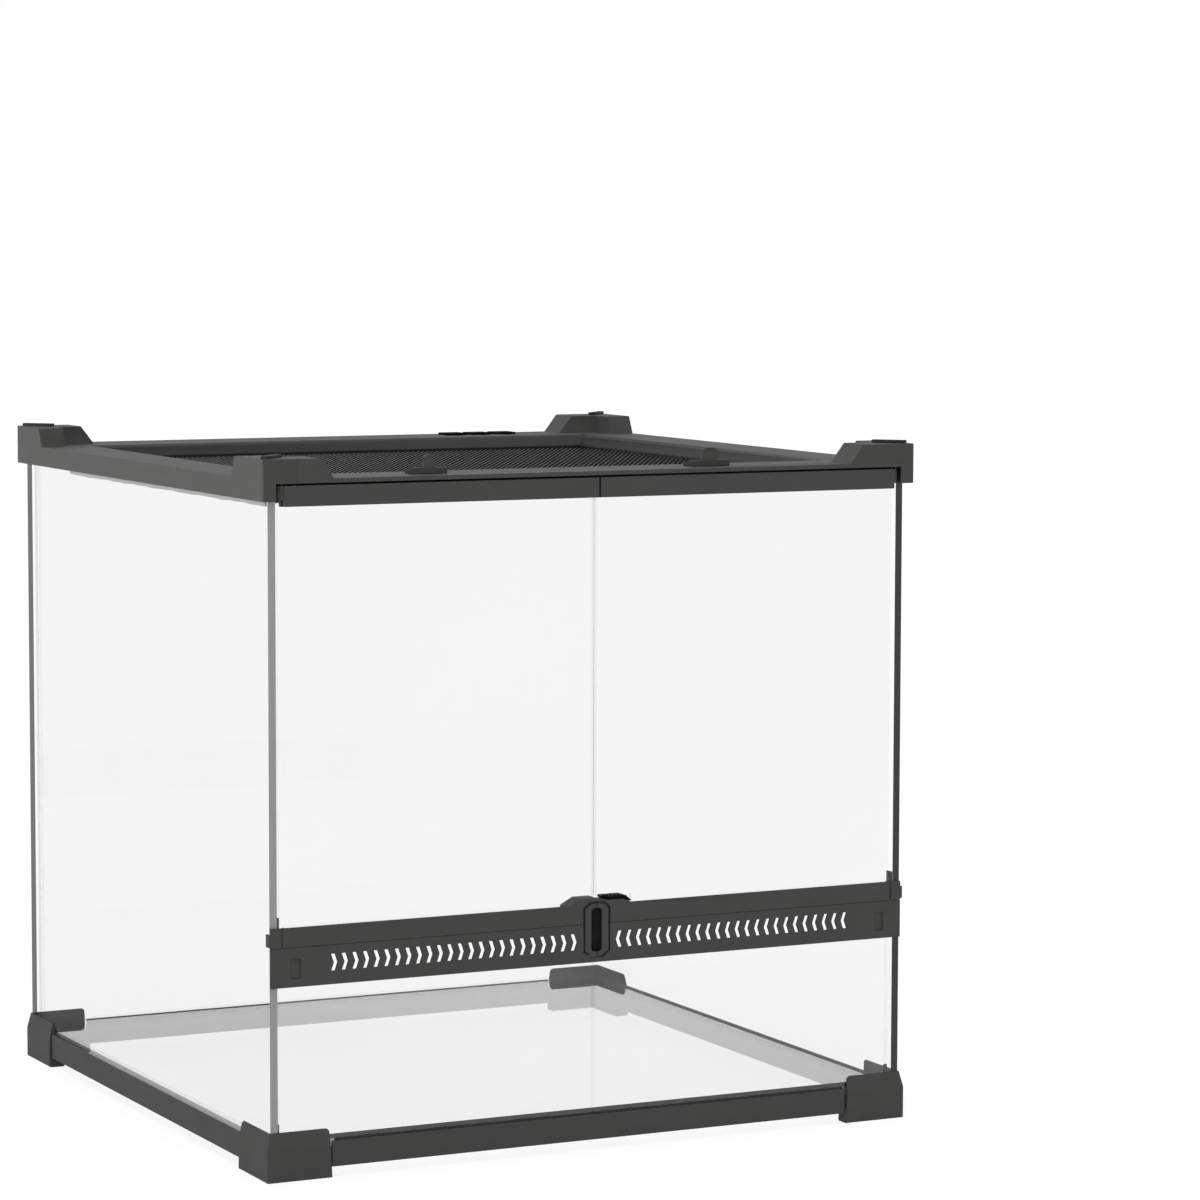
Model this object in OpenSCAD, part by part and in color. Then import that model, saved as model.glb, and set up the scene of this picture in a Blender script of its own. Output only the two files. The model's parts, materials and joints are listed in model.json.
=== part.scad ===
// Front-opening glass terrarium on a raised plastic base, with a vented lock bar
// and a turreted top frame that carries a lift-out screen.
// X is to the right, Y to the back and Z up. The origin is on the floor, under the middle.

/* [Overall] */
// Width over the top frame
tank_w = 460; // [384:1:552]
// Depth over the top frame
tank_d = 460; // [384:1:552]
// Height from the floor to the top of the corner turrets
body_h = 449; // [375:1:540]

/* [Glass] */
// Thickness of the side, rear and lower front panes
pane_t = 5; // [4:0.5:6]
// Thickness of the floor pane
floor_t = 5; // [4:0.5:6]
// Thickness of the door panes
door_t = 4; // [3:0.5:4.5]
// Setback of the outer pane faces from the outer face of the top frame
pane_inset = 5.6; // [5:0.1:7]
// Height of the upper face of the floor pane
floor_z = 23; // [20:0.5:26]
// Leg of the silicone bead in each inner corner
bead = 3; // [2:0.5:4]

/* [Top frame] */
// Height of the corner turrets above the rim
turret_rise = 12.5; // [8:0.5:18]
// Height of the skirt, from its lower edge to the rim
skirt_h = 13.5; // [12:0.5:20]
// Wall of the skirt and of the turrets
skirt_t = 2.6; // [2:0.1:3]
// Thickness of the rim plate
rim_t = 2.6; // [2:0.1:3.5]
// Wall of the ribs that hold the panes and of the screen well
rib_t = 2; // [1.5:0.1:3]
// Width of the rim at the sides
side_rim_w = 40; // [34:1:48]
// Width of the rim at the front and the rear
end_rim_w = 49.5; // [46:0.5:60]
// Depth from the rim to the ledge that carries the screen
seat_depth = 12; // [10:0.5:14]
// Width of the ledge that carries the screen
ledge_w = 6; // [4:0.5:8]
// Chamfer on the upper inner edge of the rim
rim_chamfer = 1.4; // [0.5:0.1:2]

/* [Corner turrets] */
// Length of the top of the arm along the front or the rear
turret_len_x = 38.3; // [34:0.1:46]
// Slope of the end of that arm
turret_run_x = 9.7; // [4:0.1:12]
// Width of that arm
turret_w_y = 26.5; // [22:0.5:30]
// Length of the top of the arm along the side
turret_len_y = 46.2; // [40:0.1:54]
// Slope of the end of that arm
turret_run_y = 6; // [3:0.1:9]
// Width of that arm
turret_w_x = 18; // [14:0.5:22]
// Length of a stacking pad, which points from the corner to the middle
pad_len = 23; // [16:0.5:26]
// Width of a stacking pad
pad_w = 5.2; // [4:0.2:7]
// Distance of the middle of a pad from the outer face of the top frame, across the width
pad_x = 11.4; // [10.5:0.1:12.5]
// Distance of the middle of a pad from the front or rear face of the top frame
pad_y = 13.4; // [12:0.1:15]
// Height of a stacking pad above the turret
pad_h = 2; // [1:0.1:3]

/* [Base] */
// Setback of the base corners from the outer face of the top frame
base_inset = 2.4; // [1:0.1:2.5]
// Height of the base corners
corner_h = 31; // [28:0.5:36]
// Height at which their outer faces start to lean in
corner_lean_z = 19.8; // [12:0.2:22]
// Length of a base corner along the front or the rear
corner_len_x = 43.8; // [36:0.2:54]
// Length of a base corner along the side
corner_len_y = 49.4; // [40:0.2:60]
// Slope of the ends of the base corners
corner_run = 3.2; // [1:0.1:5]
// Lower edge of the base rails
rail_z = 6.5; // [4:0.5:8]
// Upper edge of the base rails
rail_top_z = 22.9; // [20:0.1:25]
// Outer wall of the base rails
rail_wall = 1.6; // [1.2:0.1:2]
// Floor of the channel in which the panes stand
channel_z = 10.5; // [9.5:0.5:12]
// Thickness of the channel floor
channel_t = 2; // [1.5:0.1:2.5]

/* [Vented strip] */
// Lower edge of the vented strip
strip_z = 121.8; // [102:0.2:146]
// Height of the vented strip
strip_h = 24.6; // [22:0.1:30]
// Front face of the strip and the door bar ahead of the side panes
strip_proud = 2.1; // [2:0.1:3]
// Wall of the vented strip
strip_t = 1.9; // [1.5:0.1:2]
// Height of the chevron slots
chevron_h = 10.6; // [8:0.1:11.6]
// Width of the stroke of a chevron
chevron_w = 2.7; // [2:0.1:4]
// Reach of the point of a chevron
chevron_tip = 1.8; // [0.5:0.1:3]
// Distance from one chevron to the next
chevron_pitch = 7.2; // [6.5:0.1:10]
// Distance from the middle to the first chevron
chevron_start = 13.8; // [13:0.1:18]
// Width of the shallow recess near each end
recess_w = 6.8; // [5:0.1:9]
// Depth of that recess
recess_d = 1.2; // [0.5:0.1:1.4]

/* [Doors] */
// Distance of the hinge axis from the outer face of the top frame, across the width
hinge_inset_x = 14.6; // [14.6:0.1:18]
// Distance of the hinge axis from the front face of the top frame
hinge_inset_y = 5; // [4.6:0.1:5]
// Diameter of the upper hinge pins
pin_top_d = 3.4; // [3:0.1:3.4]
// Diameter of the lower hinge pins
pin_low_d = 2; // [1.6:0.1:2.2]
// Height of the bar at the foot of the doors
bar_h = 12.3; // [11:0.1:16]
// Height of the rail at the head of the doors
head_h = 12.8; // [12:0.1:14]
// Gap between the two doors
door_gap = 0.6; // [0.5:0.1:1.2]
// Gap between the two door panes
pane_gap = 1.8; // [1.2:0.1:3]
// Width of the left half of the lock housing
lock_left_w = 20.2; // [18:0.2:24]
// Width of the right half of the lock housing
lock_right_w = 25; // [22:0.2:30]
// Height of the left half of the lock housing above the bar
lock_left_h = 4.1; // [3.9:0.1:5]
// Height of the right half of the lock housing above the bar
lock_right_h = 2.4; // [2.2:0.1:2.8]
// Depth of the lock housing
lock_d = 12.7; // [11:0.1:14]
// Half the width of the octagonal handle
handle_w = 8.2; // [8:0.1:9]
// Height of the lower end of the handle above the lower edge of the strip
handle_lift = 3.8; // [3.4:0.1:5]
// Width of the gap round the handle
handle_gap = 1.4; // [1:0.1:2]
// Wall of the handle that the fingers pull on
handle_lip = 4.4; // [3:0.1:4.6]
// Depth of the finger pocket in the handle
pocket_d = 6.2; // [4:0.1:6.6]
// Travel of the lock bolt
bolt_travel = 6; // [5:0.5:6]

/* [Screen] */
// Width of the screen frame
screen_w = 8; // [7:0.5:10]
// Height of the screen frame
screen_h = 4.2; // [3.5:0.1:4.4]
// Thickness of the mesh
mesh_t = 0.8; // [0.5:0.1:1]
// Place of the left latch across the width
latch_left_x = -109.8; // [-140:1:-60]
// Place of the right latch across the width
latch_right_x = 88.7; // [60:1:140]
// Width of the left latch
latch_left_w = 23.8; // [20:0.2:28]
// Width of the right latch
latch_right_w = 27.6; // [20:0.2:28]
// Travel of the latches
latch_travel = 8; // [6:0.5:8]

/* [Cable shutters] */
// Place of the middle shutter across the width
shutter_x = 118.2; // [100:1:124]
// Distance from one shutter to the next
shutter_pitch = 19.8; // [19:0.1:24]
// Width of a shutter
shutter_w = 16; // [14:0.2:17]
// Length of a shutter
shutter_len = 16; // [14:0.2:18]
// Travel of a shutter
shutter_travel = 12; // [8:0.5:12]

/* [Hidden] */

$fn = 48;
eps = 0.01;
// Reach of a cut beyond the surface that it opens
over = 1;
// Gap between a pane and the plastic beside it
pane_fit = 0.2;
// Gap on each side of a door pane in its rails
grip_fit = 0.05;
// Gap between parts that slide or swing past each other
slip = 0.3;
// Gap between the round end of a door bar and the clip beside it
end_fit = 0.15;
// Radial clearance of a pin in its bore
pin_fit = 0.05;
// Radial clearance of a pin that is pressed in
press_fit = 0.02;

plastic = [0.28, 0.28, 0.29];
black = [0.06, 0.06, 0.06];
clear = [0.85, 0.93, 0.92, 0.35];
wire = [0.35, 0.36, 0.37];

half_w = tank_w / 2;
half_d = tank_d / 2;

// Panes
pane_x = half_w - pane_inset;
pane_y = half_d - pane_inset;
room_x = pane_x - pane_t;
room_y = pane_y - pane_t;

// Base
base_x = half_w - base_inset;
base_y = half_d - base_inset;
channel_x = pane_x + pane_fit;
channel_y = pane_y + pane_fit;
rail_x = channel_x + rail_wall;
rail_y = channel_y + rail_wall;
leg_t = 2.2;
leg_top_z = floor_z - floor_t;
base_leg_x = room_x - pane_fit - leg_t;
base_leg_y = room_y - pane_fit - leg_t;
corner_lip_t = 0.6;
corner_nick_h = 1.4;
foot_wall_t = 2;
// Lap of the end wall of a foot into its outer wall
foot_wall_lap = 1;
butt_gap = 0.15;

// Top frame
rim_z = body_h - turret_rise;
skirt_z = rim_z - skirt_h;
plate_z = rim_z - rim_t;
well_x = half_w - side_rim_w;
well_y = half_d - end_rim_w;
seat_z = rim_z - seat_depth;
jamb_inset = 9.2;
jamb_x = half_w - jamb_inset;
pane_top_z = plate_z - pane_fit;
groove_left_inset = 23.5;
groove_right_inset = 16.9;

// Vented strip and the bar of the doors
bar_y = -pane_y - strip_proud;
strip_top_z = strip_z + strip_h;
bar_z = strip_top_z + slip;
bar_top_z = bar_z + bar_h;
strip_web_t = 2;
strip_lap = 4.2;
lower_glass_z = strip_z + strip_lap;
notch_z = lower_glass_z + strip_web_t;
recess_inset = 18.8;
recess_x = half_w - recess_inset;
recess_low = 5.1;
recess_high = 17.5;
chevron_margin = 24.3;
chevron_lift = 8.4;
chevron_z = strip_z + chevron_lift;
chevron_room = recess_x - chevron_margin - chevron_start + chevron_pitch - chevron_w - chevron_tip;
chevron_count = floor(chevron_room / chevron_pitch);

// Doors
hinge_x = half_w - hinge_inset_x;
hinge_y = -half_d + hinge_inset_y;
door_pane_y = hinge_y + pin_top_d / 2 + slip;
door_back_y = door_pane_y + door_t;
door_rear_wall = 1.4;
door_rear_y = door_back_y + door_rear_wall;
door_lip_y = door_pane_y - grip_fit;
door_end_lap = 2;
door_end_x = hinge_x + door_end_lap;
door_pane_lap = 1.6;
door_pane_x = hinge_x + door_pane_lap;
pane_low_grip = 2.5;
pane_cut_gap = 0.5;
door_pane_z = bar_z + pane_low_grip;
stop_gap = 0.5;
stop_y = door_rear_y + stop_gap;

// Rail at the head of a door
head_inset = 0.4;
head_clear = 1.4;
head_web_t = 2.85;
head_face_t = 2.5;
head_lip_t = 1.5;
head_hold_lift = 1.8;
head_y = -half_d + head_inset;
head_top_z = plate_z - head_clear;
head_z = head_top_z - head_h;
head_web_z = head_top_z - head_web_t;
head_hold_z = head_z + head_hold_lift;
door_pane_top_z = head_web_z - grip_fit;
knuckle_lift = 0.2;
knuckle_z = skirt_z + knuckle_lift;
knuckle_w = 3.4;
knuckle_r = min(3.7, room_x - slip - hinge_x);
pivot_bore_d = pin_top_d + 2 * pin_fit;
pin_recess = 0.4;

// Bar at the foot of a door
bar_end_r = hinge_y - bar_y;
bar_edge_t = 1.6;
bar_bevel = 0.8;
bar_rear_drop = 1.7;
pin_low_reach = 5;
pin_low_bore_h = 5.6;

// Lock housing and bolt
lock_y = bar_y + lock_d;
lock_top_z = bar_top_z + lock_left_h;
lock_low_z = bar_top_z + lock_right_h;
lock_left_run = 8.6;
lock_left_foot = -0.4;
lock_right_run = 5.8;
lock_front_t = 1.7;
lock_rear_t = 1.5;
lock_floor_z = bar_top_z + slip;
bolt_tongue_x = 0.8;
bolt_tongue_inset = 5;
bolt_tongue_y = bar_y + bolt_tongue_inset;
bolt_tongue_w = 5;
bolt_tongue_sink = 0.6;
bolt_tongue_z = bar_top_z - bolt_tongue_sink;
bolt_tongue_h = 1.8;
bolt_stem_x = 14.3;
bolt_stem_lap = 2;
bolt_cap_rear_x = 6.3;
bolt_cap_front_x = 8.2;
bolt_cap_flat_x = 21.6;
bolt_nose = 0.8;
bolt_end_x = lock_right_w + bolt_nose;
bolt_cap_h = 1.7;
bolt_edge_h = 0.2;

// Handle
handle_z = strip_z + handle_lift;
handle_rise = 0.6;
handle_top_z = bar_top_z + handle_rise;
handle_cut_x = 4.5;
handle_cut_z = 3.5;
pocket_x = -handle_w + handle_lip;
pocket_margin = 3;
pocket_cut_x = 1.5;
pocket_cut_z = 1.6;
moat_d = 2;

// Screen
screen_gap = 0.8;
screen_x = well_x - screen_gap;
screen_y = well_y - screen_gap;
screen_lip = 3;
screen_lip_h = 1.8;
mesh_x = screen_x - screen_w + screen_lip;
mesh_y = screen_y - screen_w + screen_lip;
mesh_gap = 0.1;

// Screen latches
rest_gap = 0.1;
latch_inset = 18;
latch_y = -half_d + latch_inset;
latch_len = 13;
latch_h = 3.9;
latch_edge_h = 1.6;
latch_crest = 4;
latch_slit_w = 8;
latch_neck_w = latch_slit_w - 2 * slip;
latch_neck_y = latch_y + 4;
latch_neck_len = 5;
latch_tongue_w = 14;
latch_tongue_y = latch_neck_y - 3;
latch_tongue_z = seat_z + screen_h + slip;
latch_tongue_h = 2.6;
latch_tongue_set = 0.4;
latch_tab_t = 3;
latch_tab_set = 1;
latch_tab_h = 12;
latch_tab_cut = 2;
latch_left_tab_w = 7.5;
latch_right_tab_w = 11;

// Cable shutters
shutter_inset = 26.5;
shutter_y = half_d - shutter_inset;
shutter_cap_h = 1.5;
shutter_lap = 2.4;
shutter_hole_y = shutter_y + shutter_lap;
shutter_hole_len = 11;
shutter_slit_w = 2.6;
end_play = 0.2;
shutter_hole_inset = 2;
shutter_neck_len = 2.4;
shutter_slit_len = shutter_travel + shutter_neck_len + end_play;
shutter_foot_w = 6;
shutter_foot_t = 1.3;
shutter_foot_lap = 1;

// Box-shaped ring between two heights
module ring(ox, oy, ix, iy, z0, z1) {
  translate([0, 0, z0])
    difference() {
      translate([-ox, -oy, 0]) cube([2 * ox, 2 * oy, z1 - z0]);
      translate([-ix, -iy, -over]) cube([2 * ix, 2 * iy, z1 - z0 + 2 * over]);
    }
}

// Block between two corners
module block(a, b) {
  translate(a) cube(b - a);
}

// Outline in X and Z, from y0 to y1
module along_y(points, y0, y1) {
  translate([0, y1, 0]) rotate([90, 0, 0]) linear_extrude(y1 - y0) polygon(points);
}

// Outline in Y and Z, from x0 to x1
module along_x(points, x0, x1) {
  translate([x0, 0, 0]) rotate([90, 0, 90]) linear_extrude(x1 - x0) polygon(points);
}

// The left, front piece moved to another corner
module to_corner(right, rear) {
  mirror([right ? 1 : 0, 0, 0]) mirror([0, rear ? 1 : 0, 0]) children();
}

// Outer shape of the base corners: upright below, leaning in above
module base_envelope() {
  intersection() {
    along_y(corner_sides(base_x, channel_x), -base_y, base_y);
    along_x(corner_sides(base_y, channel_y), -base_x, base_x);
  }
}

function corner_sides(outer, inner) = [
  [-outer, 0], [outer, 0], [outer, corner_lean_z], [inner + corner_lip_t, corner_h],
  [-inner - corner_lip_t, corner_h], [-outer, corner_lean_z]
];

// One arm of a base corner: its end leans back and has a small chamfer at the top
function corner_arm(outer, len) = [
  [-outer - over, -over], [-outer + len, -over], [-outer + len, 0],
  [-outer + len - corner_run / 2, corner_h - corner_nick_h], [-outer + len - corner_run, corner_h],
  [-outer + len - corner_run, corner_h + over], [-outer - over, corner_h + over]
];

// Channel for the lower edges of the panes, with the leg that carries the floor pane
module base_channel(z0) {
  ring(channel_x + eps, channel_y + eps, base_leg_x, base_leg_y, channel_z - channel_t, channel_z);
  ring(room_x - pane_fit, room_y - pane_fit, base_leg_x, base_leg_y, z0, leg_top_z);
}

module base_corner() {
  end_x = -base_x + corner_len_x;
  end_y = -base_y + corner_len_y;
  color(plastic)
    intersection() {
      union() {
        difference() {
          base_envelope();
          block([-channel_x, -channel_y, -over], [channel_x, channel_y, corner_h + over]);
        }
        base_channel(0);
        block([end_x - foot_wall_t, -base_y + foot_wall_lap, 0], [end_x, -base_leg_y - eps, channel_z - eps]);
        block([-base_x + foot_wall_lap, end_y - foot_wall_t, 0], [-base_leg_x - eps, end_y, channel_z - eps]);
      }
      union() {
        along_y(corner_arm(base_x, corner_len_x), -base_y - over, -base_leg_y);
        along_x(corner_arm(base_y, corner_len_y), -base_x - over, -base_leg_x);
      }
    }
}

// All four rails as one ring, from which each rail is cut
module rail_ring() {
  ring(rail_x, rail_y, channel_x, channel_y, rail_z, rail_top_z);
  base_channel(rail_z);
}

module base_rail_x() {
  reach = base_x - corner_len_x - butt_gap;
  color(plastic)
    intersection() {
      rail_ring();
      block([-reach, -half_d, 0], [reach, -base_leg_y, corner_h]);
    }
}

module base_rail_y() {
  reach = base_y - corner_len_y - butt_gap;
  color(plastic)
    intersection() {
      rail_ring();
      block([-half_w, -reach, 0], [-base_leg_x, reach, corner_h]);
    }
}

module floor_pane() {
  floor_x = room_x - pane_fit;
  floor_y = room_y - pane_fit;
  color(clear)
    block([-floor_x, -floor_y, leg_top_z], [floor_x, floor_y, floor_z]);
}

module side_pane() {
  color(clear)
    block([-pane_x, -pane_y, channel_z], [-room_x, pane_y, pane_top_z]);
}

module rear_pane() {
  color(clear)
    block([-room_x + pane_fit, room_y, channel_z], [room_x - pane_fit, pane_y, pane_top_z]);
}

module lower_front_pane() {
  color(clear)
    block([-room_x + pane_fit, -pane_y, channel_z], [room_x - pane_fit, -room_y, lower_glass_z]);
}

// Section of a bead: a triangle in the corner between two panes
bead_section = [[0, 0], [bead, 0], [0, bead]];

// Upright bead in the corner of the room at the left and the front
module bead_upright(top_z) {
  translate([-room_x, -room_y, floor_z])
    linear_extrude(top_z - floor_z) polygon(bead_section);
}

module silicone_beads() {
  end_gap = 1;
  color(black)
    for (side = [0, 1]) {
      to_corner(side == 1, false) bead_upright(strip_z - end_gap);
      to_corner(side == 1, true) bead_upright(skirt_z - end_gap);
      mirror([side, 0, 0])
        translate([-room_x, 0, floor_z])
          rotate([90, 0, 0]) linear_extrude(2 * room_y, center = true) polygon(bead_section);
      mirror([0, side, 0])
        translate([0, -room_y, floor_z])
          rotate([90, 0, 90]) linear_extrude(2 * room_x, center = true) polygon(bead_section);
    }
}

// Solid form of a turret, smaller by the wall on every side when it is the hollow
module turret_form(wall, z0) {
  x_top = -half_w + turret_len_x;
  y_top = -half_d + turret_len_y;
  top = body_h - wall;
  slope_x = turret_run_x / turret_rise;
  slope_y = turret_run_y / turret_rise;
  back_x = wall * sqrt(1 + slope_x * slope_x) - wall * slope_x;
  back_y = wall * sqrt(1 + slope_y * slope_y) - wall * slope_y;
  along_y(
    [[-half_w + wall, z0], [x_top - back_x + (top - z0) * slope_x, z0], [x_top - back_x, top],
     [-half_w + wall, top]],
    -half_d + wall, -half_d + turret_w_y - wall);
  along_x(
    [[-half_d + wall, z0], [y_top - back_y + (top - z0) * slope_y, z0], [y_top - back_y, top],
     [-half_d + wall, top]],
    -half_w + wall, -half_w + turret_w_x - wall);
}

// Fine upright groove in the front of a turret
module turret_groove(x) {
  groove_w = 1;
  groove_d = 0.35;
  translate([x, -half_d, plate_z + eps])
    linear_extrude(turret_rise + rim_t)
      polygon([[-groove_w / 2, 0], [0, groove_d], [groove_w / 2, 0], [groove_w / 2, -over],
        [-groove_w / 2, -over]]);
}

// Opening for a cable, with the slit in which the foot of its shutter runs
module shutter_hole(x) {
  hole_w = shutter_w - 2 * shutter_hole_inset;
  slit_x = shutter_slit_w / 2;
  block([x - hole_w / 2, shutter_hole_y, plate_z - over],
        [x + hole_w / 2, shutter_hole_y + shutter_hole_len, rim_z + over]);
  block([x - slit_x, shutter_hole_y - shutter_slit_len, plate_z - over],
        [x + slit_x, shutter_hole_y + eps, rim_z + over]);
}

// Slit and window for a screen latch
module latch_hole(x) {
  slit_end_y = latch_neck_y + latch_neck_len + latch_travel + slip;
  window_x = latch_tongue_w / 2 + slip;
  block([x - latch_slit_w / 2, latch_neck_y - slip, plate_z - over],
        [x + latch_slit_w / 2, slit_end_y, rim_z + over]);
  block([x - window_x, -well_y - rib_t - over, latch_tongue_z - slip],
        [x + window_x, -well_y + over, latch_tongue_z + latch_tongue_h + slip]);
}

// Ribs below the rim: round the panes, behind the doors and round the screen
module frame_ribs() {
  rib_x = room_x - pane_fit;
  rib_y = room_y - pane_fit;
  top_z = plate_z + eps;
  jog_y = -rib_y + rib_t;
  difference() {
    ring(rib_x, rib_y, rib_x - rib_t, rib_y - rib_t, skirt_z, top_z);
    block([-half_w, -half_d, skirt_z - over], [half_w, jog_y + eps, plate_z]);
  }
  block([-rib_x, stop_y, skirt_z], [rib_x, stop_y + rib_t, top_z]);
  for (side = [0, 1])
    mirror([side, 0, 0])
      block([-rib_x, stop_y, skirt_z], [-rib_x + rib_t, jog_y + rib_t, top_z]);
  ring(well_x + rib_t, well_y + rib_t, well_x, well_y, skirt_z, top_z);
  ring(well_x + eps, well_y + eps, well_x - ledge_w, well_y - ledge_w, skirt_z, seat_z);
}

// Hollow of a turret, open downwards through the rim
module turret_hollow() {
  margin_y = 2;
  margin_end = 4;
  turret_form(skirt_t, rim_z);
  block([-half_w + skirt_t, -half_d + turret_w_y + margin_y, plate_z - eps],
        [-half_w + turret_w_x - skirt_t, -half_d + turret_len_y - margin_end, rim_z + over]);
}

module top_frame() {
  color(plastic)
    difference() {
      union() {
        ring(half_w, half_d, half_w - skirt_t, half_d - skirt_t, skirt_z, rim_z);
        ring(half_w, half_d, well_x, well_y, plate_z, rim_z);
        frame_ribs();
        for (right = [false, true], rear = [false, true])
          to_corner(right, rear) turret_form(0, rim_z - eps);
      }
      for (right = [false, true], rear = [false, true])
        to_corner(right, rear) turret_hollow();
      block([-jamb_x, -half_d - over, skirt_z - over], [jamb_x, stop_y, plate_z]);
      rim_bevel();
      for (side = [0, 1])
        mirror([side, 0, 0])
          translate([-hinge_x, hinge_y, plate_z - over]) cylinder(d = pivot_bore_d, h = rim_t + 2 * over);
      turret_groove(-half_w + groove_left_inset);
      turret_groove(half_w - groove_right_inset);
      latch_hole(latch_left_x);
      latch_hole(latch_right_x);
      for (i = [-1 : 1])
        shutter_hole(shutter_x + i * shutter_pitch);
    }
}

// Section of the chamfer along the upper inner edge of the rim, twice as wide as it is high
function bevel_section(inner) = [
  [-inner - 2 * rim_chamfer, rim_z + eps], [-inner + over, rim_z + eps],
  [-inner + over, rim_z - rim_chamfer - over / 2], [-inner - 2 * rim_chamfer, rim_z]
];

module rim_bevel() {
  for (side = [0, 1]) {
    mirror([side, 0, 0]) along_y(bevel_section(well_x), -well_y, well_y);
    mirror([0, side, 0]) along_x(bevel_section(well_y), -well_x, well_x);
  }
}

// Pad on a turret, on which a light canopy or a second tank stands
module stacking_pad() {
  nib = 0.8;
  end_x = pad_len / 2;
  side_y = pad_w / 2;
  color(black)
    translate([-half_w + pad_x, -half_d + pad_y, body_h])
      rotate([0, 0, 45])
        linear_extrude(pad_h)
          polygon([[-end_x, nib - side_y], [nib - end_x, -side_y], [end_x - nib, -side_y],
            [end_x, nib - side_y], [end_x, side_y - nib], [end_x - nib, side_y], [nib - end_x, side_y],
            [-end_x, side_y - nib]]);
}

// Chevron that points to the middle, with its lower outer corner at the origin
module chevron() {
  polygon([
    [0, 0], [chevron_w, 0], [chevron_w + chevron_tip, chevron_h / 2], [chevron_w, chevron_h],
    [0, chevron_h], [chevron_tip, chevron_h / 2]
  ]);
}

// Outline of the handle, larger by grow all round, with its cut corners
function handle_outline(grow) = [
  [0, handle_z - grow], [-handle_w - grow + handle_cut_x, handle_z - grow],
  [-handle_w - grow, handle_z - grow + handle_cut_z],
  [-handle_w - grow, handle_top_z + grow - handle_cut_z],
  [-handle_w - grow + handle_cut_x, handle_top_z + grow], [0, handle_top_z + grow]
];

// Left half of the vented strip
module vent_strip_half() {
  strip_x = room_x - slip;
  glass_y = -room_y + pane_fit;
  clip_t = 1.7;
  first_x = -chevron_start - chevron_w - chevron_tip;
  moat_edge = 0.55;
  bore_depth = 4;
  difference() {
    union() {
      block([-pane_x, bar_y, strip_z], [0, bar_y + strip_t, strip_top_z]);
      block([-strip_x, bar_y, strip_top_z - strip_web_t], [0, door_rear_y, strip_top_z]);
      block([-strip_x, bar_y, lower_glass_z], [0, glass_y + clip_t, notch_z]);
      block([-strip_x, glass_y, strip_z], [0, glass_y + clip_t, notch_z]);
    }
    for (i = [0 : chevron_count - 1])
      translate([first_x - i * chevron_pitch, bar_y + strip_t + over, chevron_z])
        rotate([90, 0, 0]) linear_extrude(strip_t + 2 * over) chevron();
    block([-recess_x, bar_y - over, strip_z + recess_low],
          [-recess_x + recess_w, bar_y + recess_d, strip_z + recess_high]);
    along_y(handle_outline(handle_gap - moat_edge), bar_y - over, bar_y + strip_t + eps);
    block([-handle_w - handle_gap, bar_y - over, notch_z], [over, door_rear_y + over, strip_top_z + over]);
    translate([-hinge_x, hinge_y, strip_top_z - bore_depth])
      cylinder(d = pin_low_d + 2 * press_fit, h = bore_depth + over);
  }
}

module vent_strip() {
  color(plastic)
    for (side = [0, 1])
      mirror([side, 0, 0]) vent_strip_half();
}

// Clip that holds the end of the vented strip on the front edge of a side pane
module strip_clip() {
  end_x = -hinge_x - bar_end_r - end_fit;
  pane_front_y = -pane_y - pane_fit;
  tab_x = -pane_x - pane_fit;
  tab_t = 1.2;
  tab_len = 5;
  tab_z = bar_z + 0.8;
  tab_h = 8;
  leg_x = -room_x + pane_fit;
  leg_w = 1.1;
  leg_reach = 6;
  leg_rise = 6.4;
  color(plastic) {
    block([-pane_x, bar_y, bar_z], [end_x, pane_front_y, bar_top_z]);
    block([tab_x - tab_t, bar_y, tab_z], [-pane_x + eps, bar_y + strip_t, tab_z + tab_h]);
    block([tab_x - tab_t, bar_y, tab_z], [tab_x, bar_y + tab_len, tab_z + tab_h]);
    block([leg_x, pane_front_y - eps, tab_z], [leg_x + leg_w, -pane_y + leg_reach, bar_top_z + leg_rise]);
  }
}

module hinge_pin_lower() {
  color(black)
    translate([-hinge_x, hinge_y, strip_top_z - strip_web_t])
      cylinder(d = pin_low_d, h = strip_web_t + slip + pin_low_reach);
}

module hinge_pin_upper() {
  color(black)
    translate([-hinge_x, hinge_y, head_z])
      cylinder(d = pin_top_d, h = rim_z - pin_recess - head_z);
}

// Door pane with the corner cut out for its half of the lock housing
module door_pane(cut_x, cut_z) {
  color(clear)
    difference() {
      block([-door_pane_x, door_pane_y, door_pane_z], [-pane_gap / 2, door_back_y, door_pane_top_z]);
      block([-cut_x, door_pane_y - over, door_pane_z - over], [over, door_back_y + over, cut_z]);
    }
}

module door_glass_left() {
  door_pane(lock_left_w + pane_cut_gap, lock_top_z + pane_cut_gap);
}

module door_glass_right() {
  mirror([1, 0, 0])
    door_pane(bolt_end_x + pane_cut_gap, lock_low_z + slip + bolt_cap_h + pane_cut_gap);
}

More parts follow.
